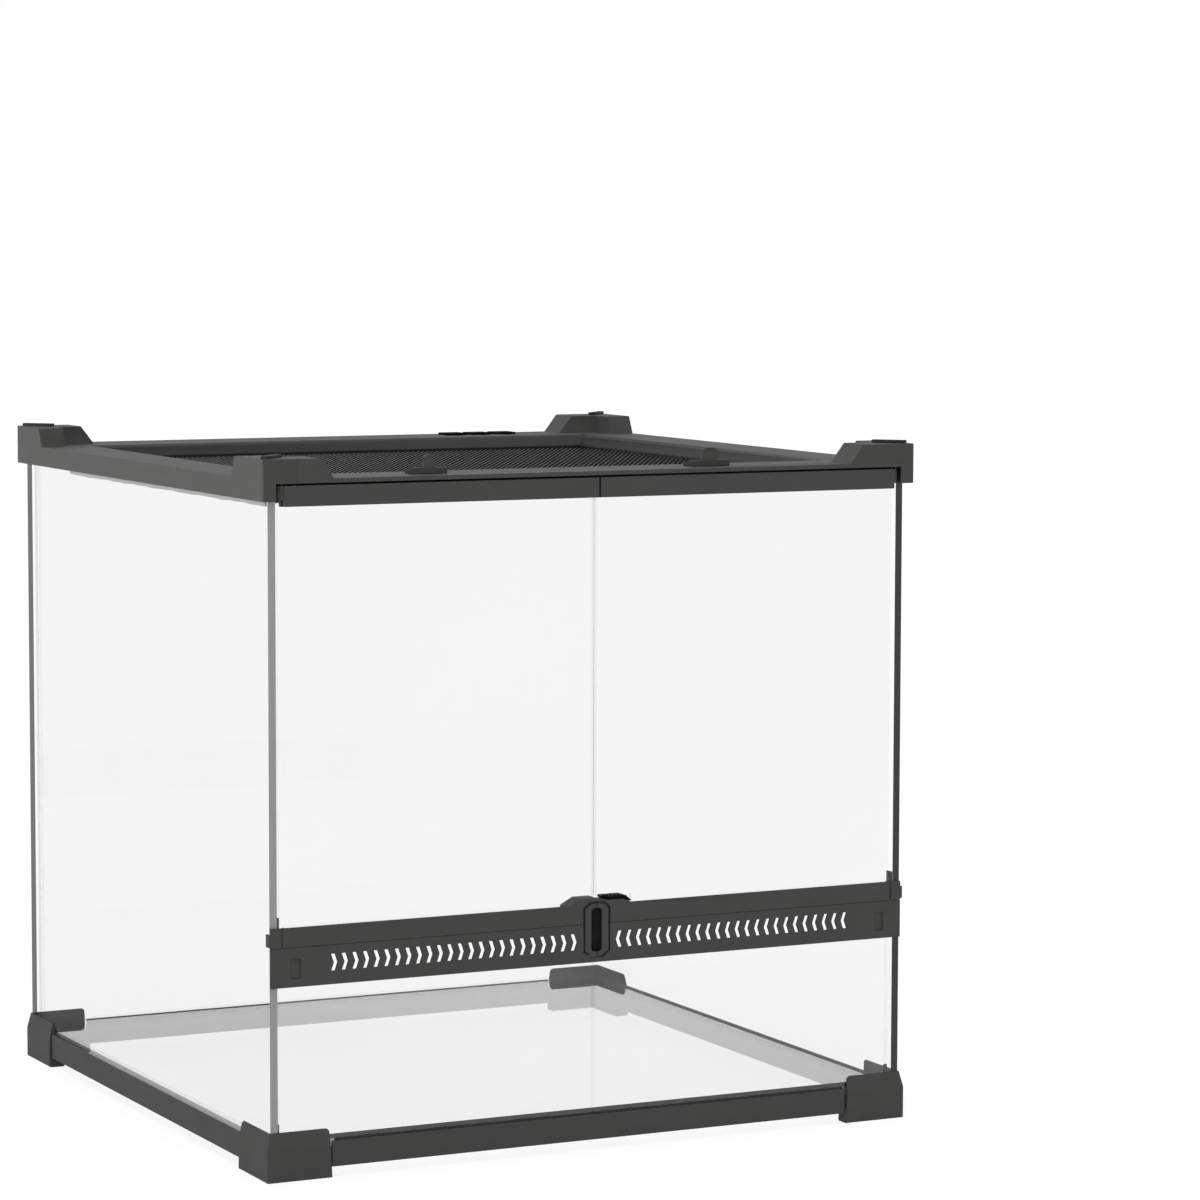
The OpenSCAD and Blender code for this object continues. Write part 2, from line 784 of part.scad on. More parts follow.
module door_head_rail() {
  end_x = -door_gap / 2;
  color(plastic)
    difference() {
      union() {
        block([-hinge_x, head_y, head_z], [end_x, head_y + head_face_t, head_top_z]);
        block([-hinge_x, head_y, head_web_z], [end_x, door_rear_y, head_top_z]);
        block([-hinge_x + knuckle_w, door_lip_y - head_lip_t, head_hold_z], [end_x, door_lip_y, head_top_z]);
        block([-door_end_x, door_back_y + grip_fit, head_hold_z], [end_x, door_rear_y, head_top_z]);
        block([-hinge_x, head_y, knuckle_z], [-hinge_x + knuckle_w, door_lip_y, head_top_z]);
        block([-door_end_x, hinge_y, knuckle_z], [-hinge_x + eps, door_lip_y, head_top_z]);
        block([-door_end_x, hinge_y, head_web_z], [-hinge_x + eps, door_rear_y, head_top_z]);
        intersection() {
          translate([-hinge_x, hinge_y, knuckle_z]) cylinder(r = knuckle_r, h = head_top_z - knuckle_z);
          block([-half_w, -half_d, knuckle_z - over], [0, door_lip_y, head_top_z + over]);
        }
      }
      translate([-hinge_x, hinge_y, head_z - over])
        cylinder(d = pin_top_d + 2 * press_fit, h = head_h + 2 * over);
    }
}

// Outline of one half of the lock housing
function lock_outline(width, run, foot_z, top_z) = [
  [-width, bar_z + strip_web_t], [-door_gap / 2, bar_z + strip_web_t], [-door_gap / 2, top_z],
  [-width + run, top_z], [-width, foot_z]
];

// Section of the front wall of a door bar, with its inner upper edge bevelled
bar_section = [
  [bar_y, bar_z], [door_lip_y, bar_z], [door_lip_y, bar_top_z - bar_bevel],
  [bar_y + bar_edge_t, bar_top_z], [bar_y, bar_top_z]
];

// Bar at the foot of a door, with its half of the lock housing and of the handle
module door_bar_body(outline) {
  end_x = -door_gap / 2;
  web_top_z = door_pane_z - grip_fit;
  rear_y = door_back_y + grip_fit;
  round_x = -hinge_x - bar_end_r;
  difference() {
    union() {
      along_x(bar_section, -hinge_x, end_x);
      block([round_x, hinge_y, bar_z], [end_x, door_rear_y, web_top_z]);
      block([round_x, rear_y, bar_z], [end_x, door_rear_y, bar_top_z - bar_rear_drop]);
      block([round_x, hinge_y, bar_z], [-hinge_x + eps, door_lip_y, bar_top_z - bar_bevel]);
      translate([-hinge_x, hinge_y, bar_z]) cylinder(r = bar_end_r, h = bar_h);
      along_y(outline, bar_y, lock_y);
    }
    handle_moat();
    along_y(pocket_outline(), bar_y - over, bar_y + pocket_d);
    translate([-hinge_x, hinge_y, bar_z - over])
      cylinder(d = pin_low_d + 2 * pin_fit, h = pin_low_bore_h + over);
  }
  handle_half();
}

// Groove that sets the handle off from the bar
module handle_moat() {
  difference() {
    along_y(handle_outline(handle_gap), bar_y - over, bar_y + moat_d);
    along_y(handle_outline(0), bar_y - 2 * over, bar_y + moat_d + over);
  }
}

// Outline of the left half of the finger pocket
function pocket_outline() = [
  [over, handle_z + pocket_margin], [pocket_x + pocket_cut_x, handle_z + pocket_margin],
  [pocket_x, handle_z + pocket_margin + pocket_cut_z],
  [pocket_x, handle_top_z - pocket_margin - pocket_cut_z],
  [pocket_x + pocket_cut_x, handle_top_z - pocket_margin], [over, handle_top_z - pocket_margin]
];

// Left half of the handle, which hangs in the notch of the vented strip
module handle_half() {
  wrap_gap = 0.4;
  wrap_y = -pane_y - pane_fit - wrap_gap;
  reach_x = -handle_w - over;
  difference() {
    intersection() {
      along_y(handle_outline(0), bar_y, door_rear_y);
      block([reach_x, bar_y - over, handle_z - over],
            [-door_gap / 2, door_rear_y + over, bar_z + strip_web_t + eps]);
    }
    along_y(pocket_outline(), bar_y - over, bar_y + pocket_d);
    block([reach_x, wrap_y, handle_z - over], [over, door_rear_y + over, notch_z + slip]);
  }
}

// Tunnel for the tongue of the bolt, from x0 to x1
module bolt_tunnel(x0, x1) {
  block([x0, bolt_tongue_y - slip, bolt_tongue_z - slip],
        [x1, bolt_tongue_y + bolt_tongue_w + slip, bolt_tongue_z + bolt_tongue_h + slip]);
}

module door_bar_left() {
  end_gap = 1.2;
  color(plastic)
    difference() {
      door_bar_body(lock_outline(lock_left_w, lock_left_run, bar_top_z + lock_left_foot, lock_top_z));
      bolt_tunnel(bolt_tongue_x - bolt_travel - end_gap, over);
    }
}

module door_bar_right() {
  color(plastic)
    difference() {
      mirror([1, 0, 0])
        door_bar_body(lock_outline(lock_right_w, lock_right_run, bar_top_z, lock_low_z));
      bolt_tunnel(-over, bolt_stem_x + bolt_stem_lap + slip);
      block([bolt_stem_x - bolt_travel - slip, bar_y + lock_front_t, lock_floor_z],
            [bolt_end_x + over, lock_y - lock_rear_t, lock_top_z + over]);
    }
}

// Bolt: a sliding cap on the right half of the lock housing, with a stem in the groove and a tongue
module lock_bolt() {
  cap_z = lock_low_z + slip;
  cap_top_z = cap_z + bolt_cap_h;
  stem_z = lock_floor_z + slip;
  cap_y0 = bar_y + rest_gap;
  cap_y1 = lock_y - rest_gap;
  color(black) {
    translate([0, 0, cap_z])
      linear_extrude(bolt_cap_h)
        polygon([[bolt_cap_front_x, cap_y0], [bolt_cap_flat_x, cap_y0], [bolt_cap_flat_x, cap_y1],
          [bolt_cap_rear_x, cap_y1]]);
    along_y(
      [[bolt_stem_x, stem_z], [bolt_end_x, stem_z], [bolt_end_x, stem_z + bolt_edge_h],
       [bolt_cap_flat_x, cap_top_z], [bolt_stem_x, cap_top_z]],
      bar_y + lock_front_t + slip, lock_y - lock_rear_t - slip);
    block([bolt_tongue_x, bolt_tongue_y, bolt_tongue_z],
          [bolt_stem_x + bolt_stem_lap, bolt_tongue_y + bolt_tongue_w, bolt_tongue_z + bolt_tongue_h]);
  }
}

module screen_frame() {
  top_z = seat_z + screen_h;
  color(black) {
    ring(screen_x, screen_y, mesh_x, mesh_y, seat_z, top_z);
    ring(mesh_x + eps, mesh_y + eps, screen_x - screen_w, screen_y - screen_w, seat_z, seat_z + screen_lip_h);
  }
}

module screen_mesh() {
  sheet_x = mesh_x - mesh_gap;
  sheet_y = mesh_y - mesh_gap;
  sheet_z = seat_z + screen_lip_h;
  color(wire)
    block([-sheet_x, -sheet_y, sheet_z], [sheet_x, sheet_y, sheet_z + mesh_t]);
}

// Slide that holds the screen down: a base and a thumb tab on the rim, a tongue below it
module screen_latch(x, width, tab_w) {
  base_low_z = rim_z + rest_gap;
  tab_low_z = rim_z + latch_tab_set;
  tab_z = rim_z + latch_tab_h;
  tab_x = tab_w / 2;
  neck_x = latch_neck_w / 2;
  tongue_x = latch_tongue_w / 2;
  color(plastic) {
    along_x(
      [[latch_y, base_low_z], [latch_y + latch_len, base_low_z],
       [latch_y + latch_len, rim_z + latch_edge_h], [latch_y + latch_crest, rim_z + latch_h],
       [latch_y, rim_z + latch_h]],
      x - width / 2, x + width / 2);
    along_y(
      [[x - tab_x, tab_low_z], [x + tab_x, tab_low_z], [x + tab_x, tab_z - latch_tab_cut],
       [x + tab_x - latch_tab_cut, tab_z], [x - tab_x + latch_tab_cut, tab_z],
       [x - tab_x, tab_z - latch_tab_cut]],
      latch_y + latch_tab_set, latch_y + latch_tab_set + latch_tab_t);
    block([x - neck_x, latch_neck_y, latch_tongue_z],
          [x + neck_x, latch_neck_y + latch_neck_len, base_low_z + eps]);
    block([x - tongue_x, latch_tongue_y, latch_tongue_z],
          [x + tongue_x, -well_y - latch_tongue_set, latch_tongue_z + latch_tongue_h]);
  }
}

module latch_left() {
  screen_latch(latch_left_x, latch_left_w, latch_left_tab_w);
}

module latch_right() {
  screen_latch(latch_right_x, latch_right_w, latch_right_tab_w);
}

// Cap over a cable opening, with a foot that runs in the slit in front of it
module cable_shutter(i) {
  x = shutter_x + i * shutter_pitch;
  cap_z = rim_z + rest_gap;
  neck_x = shutter_slit_w / 2 - pin_fit;
  neck_y = shutter_hole_y - shutter_neck_len;
  foot_top_z = plate_z - rest_gap;
  foot_z = foot_top_z - shutter_foot_t;
  foot_x = shutter_foot_w / 2;
  color(black) {
    block([x - shutter_w / 2, shutter_y, cap_z],
          [x + shutter_w / 2, shutter_y + shutter_len, cap_z + shutter_cap_h]);
    block([x - neck_x, neck_y, foot_z], [x + neck_x, shutter_hole_y, cap_z + eps]);
    block([x - foot_x, neck_y - shutter_foot_lap, foot_z],
          [x + foot_x, shutter_hole_y + shutter_foot_lap, foot_top_z]);
  }
}

to_corner(false, false) base_corner();  // base_corner_front_left
to_corner(true, false) base_corner();  // base_corner_front_right
to_corner(false, true) base_corner();  // base_corner_rear_left
to_corner(true, true) base_corner();  // base_corner_rear_right
base_rail_x();  // base_rail_front
mirror([0, 1, 0]) base_rail_x();  // base_rail_rear
base_rail_y();  // base_rail_left
mirror([1, 0, 0]) base_rail_y();  // base_rail_right
floor_pane();  // floor_glass
side_pane();  // glass_left
mirror([1, 0, 0]) side_pane();  // glass_right
rear_pane();  // glass_rear
lower_front_pane();  // glass_front_lower
silicone_beads();
top_frame();
to_corner(false, false) stacking_pad();  // stacking_pad_front_left
to_corner(true, false) stacking_pad();  // stacking_pad_front_right
to_corner(false, true) stacking_pad();  // stacking_pad_rear_left
to_corner(true, true) stacking_pad();  // stacking_pad_rear_right
vent_strip();
strip_clip();  // strip_clip_left
mirror([1, 0, 0]) strip_clip();  // strip_clip_right
hinge_pin_lower();  // hinge_pin_lower_left
mirror([1, 0, 0]) hinge_pin_lower();  // hinge_pin_lower_right
door_glass_left();
door_glass_right();
door_head_rail();  // door_head_rail_left
mirror([1, 0, 0]) door_head_rail();  // door_head_rail_right
door_bar_left();
door_bar_right();
hinge_pin_upper();  // hinge_pin_upper_left
mirror([1, 0, 0]) hinge_pin_upper();  // hinge_pin_upper_right
lock_bolt();
screen_frame();
screen_mesh();
latch_left();  // screen_latch_left
latch_right();  // screen_latch_right
cable_shutter(-1);  // cable_shutter_left
cable_shutter(0);  // cable_shutter_middle
cable_shutter(1);  // cable_shutter_right
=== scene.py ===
"""Looks of a front-opening glass terrarium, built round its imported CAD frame."""

import json
import math

import bmesh
import bpy
from mathutils import Matrix, Vector


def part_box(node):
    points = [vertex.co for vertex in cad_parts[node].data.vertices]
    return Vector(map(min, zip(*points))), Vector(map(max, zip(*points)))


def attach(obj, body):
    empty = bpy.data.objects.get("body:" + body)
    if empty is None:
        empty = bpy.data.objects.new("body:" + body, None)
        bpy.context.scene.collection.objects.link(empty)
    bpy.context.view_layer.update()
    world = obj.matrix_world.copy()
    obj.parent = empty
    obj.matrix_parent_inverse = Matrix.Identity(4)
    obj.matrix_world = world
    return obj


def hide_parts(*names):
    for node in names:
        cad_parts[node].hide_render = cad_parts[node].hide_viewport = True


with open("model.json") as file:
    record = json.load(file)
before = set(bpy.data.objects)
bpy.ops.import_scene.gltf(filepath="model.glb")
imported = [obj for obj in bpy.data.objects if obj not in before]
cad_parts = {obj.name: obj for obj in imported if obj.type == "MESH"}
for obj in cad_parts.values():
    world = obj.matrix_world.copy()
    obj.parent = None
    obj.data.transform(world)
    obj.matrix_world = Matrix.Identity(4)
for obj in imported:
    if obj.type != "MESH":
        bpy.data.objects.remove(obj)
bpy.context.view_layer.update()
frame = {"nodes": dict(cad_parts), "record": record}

bl_info = {
    "name": "Glass Terrarium",
    "version": (1, 0, 0),
    "blender": (4, 5, 0),
    "location": "3D View > Sidebar > Terrarium",
    "description": "Finishes a front-opening glass terrarium round its CAD frame",
    "category": "Add Mesh",
}

NODES = frame["nodes"]
BODIES = frame["record"]["behaviour"]["bodies"]
BODY_OF = {node: body for body, nodes in BODIES.items() for node in nodes}
SLOT_OF = {row["node"]: row["material_slot"] for row in frame["record"]["subparts"]}

# Sizes are in metres, apart from the radii of rounded edges
MM = 0.001
# Farther out than anything on the terrarium, for a zone that has no limit
FAR = 1.0

# Moulded parts whose edges are rounded, with the radius of their edges in millimetres
TANK_MOULDINGS = {
    "top_frame": 0.6,
    "base_corner_front_left": 0.8,
    "base_corner_front_right": 0.8,
    "base_corner_rear_left": 0.8,
    "base_corner_rear_right": 0.8,
    "base_rail_front": 0.4,
    "base_rail_rear": 0.4,
    "base_rail_left": 0.4,
    "base_rail_right": 0.4,
    "vent_strip": 0.35,
    "strip_clip_left": 0.25,
    "strip_clip_right": 0.25,
}
DOOR_MOULDINGS = {
    "door_head_rail_left": 0.4,
    "door_head_rail_right": 0.4,
    "door_bar_left": 0.4,
    "door_bar_right": 0.4,
    "lock_bolt": 0.35,
}
SMALL_MOULDINGS = {
    "screen_latch_left": 0.45,
    "screen_latch_right": 0.45,
    "cable_shutter_left": 0.35,
    "cable_shutter_middle": 0.35,
    "cable_shutter_right": 0.35,
    "stacking_pad_front_left": 0.4,
    "stacking_pad_front_right": 0.4,
    "stacking_pad_rear_left": 0.4,
    "stacking_pad_rear_right": 0.4,
}
SCREEN_FRAME_RADIUS = 0.3
# Radius in millimetres of the upright corners of the top frame
POST_RADIUS = 1.6
# Edges stay sharp this close to the middle: on the strip beside the handle, and at the doors' split
HANDLE_ROOM = 0.011
SPLIT_ROOM = 0.001
# Rounding: points closer than this are joined, faces at less than this angle are one face, edges over
# the next angle are sharp, and their rounding has this many steps
JOIN_GAP = 0.000001
FLAT_ANGLE = math.radians(0.4)
SHARP_ANGLE = math.radians(25)
ROUNDING_STEPS = 3
# An edge is rounded if all beside it is this many times as wide as its rounding
ROOM_SHARE = 2.2
# Least height of an upright edge at an outer corner
POST_HEIGHT = 0.01

# Ribs on the back of the strip beside the handle: their two sides, depth, chamfer and lift above the
# lower pane, and the thickness of the strip's front wall
RIB_INNER, RIB_OUTER = 0.00865, 0.0108
RIB_DEPTH = 0.0009
RIB_CHAMFER = 0.0002
RIB_LIFT = 0.0022
STRIP_WALL = 0.0019

# Reach of the painted shade beside the doors' split: the head rails are darkened where shade falls in
# the gap
SPLIT_SHADE = 0.00065
# Width of the black zone on the outer end of a head rail, below the foot of the top frame
RAIL_END_BLACK_W = 0.0035
# Half the width, depth and margins of the finger pocket, and the dark tone of painted shade on its walls
POCKET_W = 0.0041
POCKET_DEPTH = 0.0066
POCKET_FOOT = 0.0029
POCKET_TOP = 0.00435
POCKET_SHADE = (0.016, 0.016, 0.016)

# Panes: the axis across their thickness, the tone of the cut edge, how clear the edge is, and how
# much of a full mirror image the faces give
PANES = {
    "glass_left": ("X", 0.3, 0.0, 0.12),
    # Painted shade: the right pane's cut edge is near black, though it is the same glass as the left
    # pane's
    "glass_right": ("X", 0.015, 0.0, 0.12),
    "glass_rear": ("Y", 0.45, 0.85, 0.25),
    "glass_front_lower": ("Y", 0.45, 0.5, 1.0),
    "door_glass_left": ("Y", 0.7, 0.9, 0.5),
    "door_glass_right": ("Y", 0.7, 0.9, 0.5),
    "floor_glass": ("Z", 0.35, 0.3, 1.0),
}
# Tint of the cut edges
EDGE_TINT = (1.0, 1.03, 1.02)
GLASS_IOR = 1.5
# Width of the dark band at the rear end of the left pane, where its rear edge shows through its face,
# and the share of light that the band holds back
FAR_BAND = 0.0105
FAR_BAND_SHADE = 0.85
# Room that a sealing bead takes beside a pane
BEAD_ROOM = 0.012
GREY_SEAL = (0.3, 0.3, 0.295)

# Sides of a wire, and the side of the grid of wires as a share of the screen's width and depth together
WIRE_SIDES = 4
FIELD_SHARE = 0.72

# Outer seals: height of a bead, the share of the rail's step that the front bead covers and its distance
# from the ends of the front rail, and the drop and the rear end of the seal under the left skirt
SEAL_RISE = 0.0015
RAIL_SEAL_SHARE = 0.8
RAIL_SEAL_INSET = 0.002
SKIRT_SEAL_DROP = 0.0031
SKIRT_SEAL_END = 0.132
# Steps along a bead and round its quarter circle
BEAD_RINGS = 60
BEAD_POINTS = 7
BEAD_SHARP_ANGLE = math.radians(40)

# Camera: its three axes and the width of its sensor in millimetres
CAMERA_RIGHT = (0.895243, -0.445573, 0.002364)
CAMERA_UP = (0.037923, 0.081477, 0.995954)
CAMERA_BACK = (-0.443962, -0.891530, 0.089839)
SENSOR_W = 36.0
# Soft lamp overhead: where it lies as seen from the terrarium, and the angle that it fills
KEY_AIM = (-0.25, -0.1, 1.0)
KEY_ANGLE = math.radians(40)
# Long lamp on the left, just under the rim: where it lies, its place, size and beam
SIDE_AIM = (-1.0, 0.0, -0.02)
SIDE_PLACE = (-1.8, 0.0, 0.37)
SIDE_LENGTH = 2.4
SIDE_HEIGHT = 0.1
SIDE_BEAM = math.radians(22)
# Half the width of the floor
FLOOR_HALF = 40.0


class TerrariumFinish(bpy.types.PropertyGroup):
    """Colours and grain of the materials"""
    plastic: bpy.props.FloatVectorProperty(
        name="Plastic", description="Colour of the graphite mouldings",
        subtype="COLOR", size=3, min=0, max=1, default=(0.062, 0.062, 0.06))
    black: bpy.props.FloatVectorProperty(
        name="Black plastic", description="Colour of the bolt, the shutters and the hinge pins",
        subtype="COLOR", size=3, min=0, max=1, default=(0.006, 0.006, 0.0065))
    rubber: bpy.props.FloatVectorProperty(
        name="Rubber", description="Colour of the pads and the silicone",
        subtype="COLOR", size=3, min=0, max=1, default=(0.02, 0.02, 0.021))
    upper_wire: bpy.props.FloatVectorProperty(
        name="Upper wires", description="Colour of the screen's wires along the bias",
        subtype="COLOR", size=3, min=0, max=1, default=(0.11, 0.11, 0.11))
    # Painted shade: the lower wires are made near black to stand for the shade between the upper wires
    lower_wire: bpy.props.FloatVectorProperty(
        name="Lower wires", description="Colour of the screen's wires across the bias",
        subtype="COLOR", size=3, min=0, max=1, default=(0.015, 0.015, 0.015))
    glass_pass: bpy.props.FloatProperty(
        name="Glass clearness", description="Share of light that passes through one face of a pane",
        subtype="FACTOR", min=0.5, max=1, default=0.963)
    grain: bpy.props.FloatProperty(
        name="Grain", description="Size of the moulded grain",
        subtype="DISTANCE", unit="LENGTH", min=0.0001, max=0.002, default=0.0005)


class TerrariumScreen(bpy.types.PropertyGroup):
    """Sizes of the wire screen"""
    pitch: bpy.props.FloatProperty(
        name="Pitch", description="Distance from one wire to the next",
        subtype="DISTANCE", unit="LENGTH", min=0.0015, max=0.005, default=0.0033)
    wire: bpy.props.FloatProperty(
        name="Wire diameter", description="Diameter of a wire",
        subtype="DISTANCE", unit="LENGTH", min=0.0002, max=0.001, default=0.0006)
    turn: bpy.props.FloatProperty(
        name="Bias", description="Angle of the wires to the front edge",
        subtype="ANGLE", unit="ROTATION", min=0, max=math.pi / 2, default=math.radians(59))
    lap: bpy.props.FloatProperty(
        name="Lap", description="Length of wire end that is held in the frame",
        subtype="DISTANCE", unit="LENGTH", min=0, max=0.003, default=0.0015)


class TerrariumStage(bpy.types.PropertyGroup):
    """Camera and light"""
    lens: bpy.props.FloatProperty(
        name="Lens", description="Focal length on a sensor 36 mm wide",
        subtype="DISTANCE_CAMERA", min=20, max=400, default=129.05)
    place: bpy.props.FloatVectorProperty(
        name="Camera", description="Place of the camera",
        subtype="TRANSLATION", unit="LENGTH", size=3, default=(-1.21126, -2.66216, 0.59968))
    ambient: bpy.props.FloatProperty(
        name="Ambient", description="Strength of the even light from all sides",
        min=0, max=2, default=0.82)
    key: bpy.props.FloatProperty(
        name="Key", description="Strength of the soft lamp overhead",
        min=0, max=10, default=0.4)
    side: bpy.props.FloatProperty(
        name="Side", description="Power of the long lamp beside the left pane",
        subtype="POWER", unit="POWER", min=0, max=500, default=1.6)
    floor_glow: bpy.props.FloatProperty(
        name="Floor glow", description="Share of the floor's white that doesn't depend on the lamps",
        subtype="FACTOR", min=0, max=1, default=0.86)


# Node trees

def add(tree, kind, inputs=None, **settings):
    """Adds a node with its settings, and sets or joins its inputs."""
    made = tree.nodes.new(kind)
    for key, value in settings.items():
        setattr(made, key, value)
    for key, value in (inputs or {}).items():
        if isinstance(value, bpy.types.NodeSocket):
            tree.links.new(value, made.inputs[key])
        else:
            made.inputs[key].default_value = value
    return made


def new_material(name):
    """An empty material and its output node."""
    made = bpy.data.materials.new(name)
    made.use_nodes = True
    made.node_tree.nodes.clear()
    return made, made.node_tree, made.node_tree.nodes.new("ShaderNodeOutputMaterial")


def rgba(color):
    return (*color, 1.0)


def maths(tree, operation, first, second=0.0):
    """The result of a Math node."""
    return add(tree, "ShaderNodeMath", {0: first, 1: second}, operation=operation).outputs[0]


def product(tree, first, second):
    return maths(tree, "MULTIPLY", first, second)


def below(tree, value, limit):
    """1 where value is under the limit, and 0 elsewhere."""
    return maths(tree, "LESS_THAN", value, limit)


def within(tree, value, low, high):
    """1 where value lies between low and high, and 0 elsewhere."""
    return maths(tree, "SUBTRACT", below(tree, value, high), below(tree, value, low))


def parts_of(tree, vector):
    """The outputs of a vector's X, Y and Z."""
    return add(tree, "ShaderNodeSeparateXYZ", {0: vector}).outputs


def grey(tree, value):
    """A grey of that value."""
    made = add(tree, "ShaderNodeCombineColor", {"Red": value, "Green": value, "Blue": value})
    return made.outputs["Color"]


def scaled(tree, vector, scale):
    """Object coordinates stretched by scale."""
    return add(tree, "ShaderNodeMapping", {"Vector": vector, "Scale": scale}).outputs["Vector"]


def noise(tree, vector, scale, detail=2.0, roughness=0.5):
    return add(tree, "ShaderNodeTexNoise", {
        "Vector": vector, "Scale": scale, "Detail": detail, "Roughness": roughness}).outputs["Fac"]


def ranged(tree, value, low, high, start=0.0, end=1.0):
    """value from start to end becomes low to high."""
    return add(tree, "ShaderNodeMapRange", {
        "Value": value, "From Min": start, "From Max": end,
        "To Min": low, "To Max": high}).outputs["Result"]


def uneven(tree, cloud, low, high):
    """A noise becomes low to high, where nearly all of it lies from 0.3 to 0.7."""
    return ranged(tree, cloud, low, high, 0.3, 0.7)


def bumped(tree, height, strength, depth):
    """The normal that a bump of that height gives."""
    return add(tree, "ShaderNodeBump", {
        "Strength": strength, "Distance": depth, "Height": height}).outputs["Normal"]


def mixed(tree, share, first, second, blend="MIX"):
    """Colour from first to second by share, or first with second laid on it by another blend."""
    made = tree.nodes.new("ShaderNodeMix")
    made.data_type = "RGBA"
    made.blend_type = blend
    # The colour sockets of this node follow those for plain values and vectors
    for socket, value in zip((made.inputs[0], made.inputs[6], made.inputs[7]), (share, first, second)):
        if isinstance(value, bpy.types.NodeSocket):
            tree.links.new(value, socket)
        else:
            socket.default_value = value
    return made.outputs[2]


def shades(tree, share, color, dark, light):
    """Shades of a colour, from dark times to light times the colour itself."""
    return mixed(tree, share, rgba([c * dark for c in color]), rgba([c * light for c in color]))


def moulded_plastic(name, color, grain, roughness=0.62, depth=0.00006, shine=0.16, dark_parts_and_shade=()):
    """Matte moulding with spark-eroded grain, faint flow marks and a slight mottle.

    Each of dark_parts_and_shade is the range of distance from the middle, of Y and of Z of a darker
    zone, and its colour; some of these zones are painted shade."""
    made, tree, output = new_material(name)
    place = add(tree, "ShaderNodeTexCoord").outputs["Object"]
    mottle = uneven(tree, noise(tree, place, scale=22.0, detail=4.0), 0.96, 1.04)
    tone = mixed(tree, 1.0, rgba(color), mottle, "MULTIPLY")
    spot = parts_of(tree, place)
    reach = maths(tree, "ABSOLUTE", spot["X"])
    for out, along, up, dark in dark_parts_and_shade:
        flat = product(tree, within(tree, reach, *out), within(tree, spot["Y"], *along))
        tone = mixed(tree, product(tree, flat, within(tree, spot["Z"], *up)), tone, rgba(dark))
    flow = noise(tree, scaled(tree, place, (1.0, 1.0, 2.5)), scale=30.0, detail=3.0)
    spark = noise(tree, place, scale=1.0 / grain, roughness=0.6)
    shader = add(tree, "ShaderNodeBsdfPrincipled", {
        "Base Color": tone,
        "Roughness": uneven(tree, flow, roughness - 0.03, roughness + 0.03),
        "Specular IOR Level": shine,
        "Normal": bumped(tree, spark, strength=0.35, depth=depth)})
    tree.links.new(shader.outputs["BSDF"], output.inputs["Surface"])
    return made


def soft_rubber(name, color, roughness):
    """Rubber or silicone: dull, with a skin of fine pits."""
    made, tree, output = new_material(name)
    place = add(tree, "ShaderNodeTexCoord").outputs["Object"]
    pits = add(tree, "ShaderNodeTexVoronoi", {"Vector": place, "Scale": 1400.0}).outputs["Distance"]
    cloud = noise(tree, place, scale=60.0, detail=4.0)
    shader = add(tree, "ShaderNodeBsdfPrincipled", {
        "Base Color": shades(tree, cloud, color, dark=0.8, light=1.25),
        "Roughness": ranged(tree, cloud, roughness - 0.06, roughness + 0.06),
        "Specular IOR Level": 0.3,
        "Normal": bumped(tree, pits, strength=0.4, depth=0.00005)})
    tree.links.new(shader.outputs["BSDF"], output.inputs["Surface"])
    return made


def sealing_silicone(name, color, front, top):
    """Clear silicone, apart from the black bead at the front, which lies before front and under top."""
    made, tree, output = new_material(name)
    place = add(tree, "ShaderNodeTexCoord").outputs["Object"]
    spot = parts_of(tree, place)
    is_black = product(tree, below(tree, spot["Y"], front), below(tree, spot["Z"], top))
    ripple = noise(tree, place, scale=160.0)
    skin = bumped(tree, ripple, strength=0.3, depth=0.0001)
    haze = uneven(tree, ripple, 0.02, 0.05)
    clear = add(tree, "ShaderNodeBsdfTransparent", {"Color": (0.985, 0.985, 0.985, 1)})
    milky = add(tree, "ShaderNodeBsdfPrincipled", {
        "Base Color": (0.8, 0.8, 0.79, 1), "Roughness": 0.35, "Normal": skin})
    bead = add(tree, "ShaderNodeMixShader", {0: haze, 1: clear.outputs[0], 2: milky.outputs[0]})
    black = add(tree, "ShaderNodeBsdfPrincipled", {
        "Base Color": rgba(color), "Roughness": 0.5, "Specular IOR Level": 0.1, "Normal": skin})
    whole = add(tree, "ShaderNodeMixShader", {0: is_black, 1: bead.outputs[0], 2: black.outputs[0]})
    tree.links.new(whole.outputs[0], output.inputs["Surface"])
    return made


def painted_wire(name, color):
    """Drawn steel wire under a thin coat, a little uneven along its length."""
    made, tree, output = new_material(name)
    place = add(tree, "ShaderNodeTexCoord").outputs["Object"]
    coat = noise(tree, place, scale=700.0)
    shader = add(tree, "ShaderNodeBsdfPrincipled", {
        "Base Color": shades(tree, coat, color, dark=0.75, light=1.3),
        "Specular IOR Level": 0.05,
        "Roughness": ranged(tree, coat, 0.5, 0.6)})
    tree.links.new(shader.outputs["BSDF"], output.inputs["Surface"])
    return made


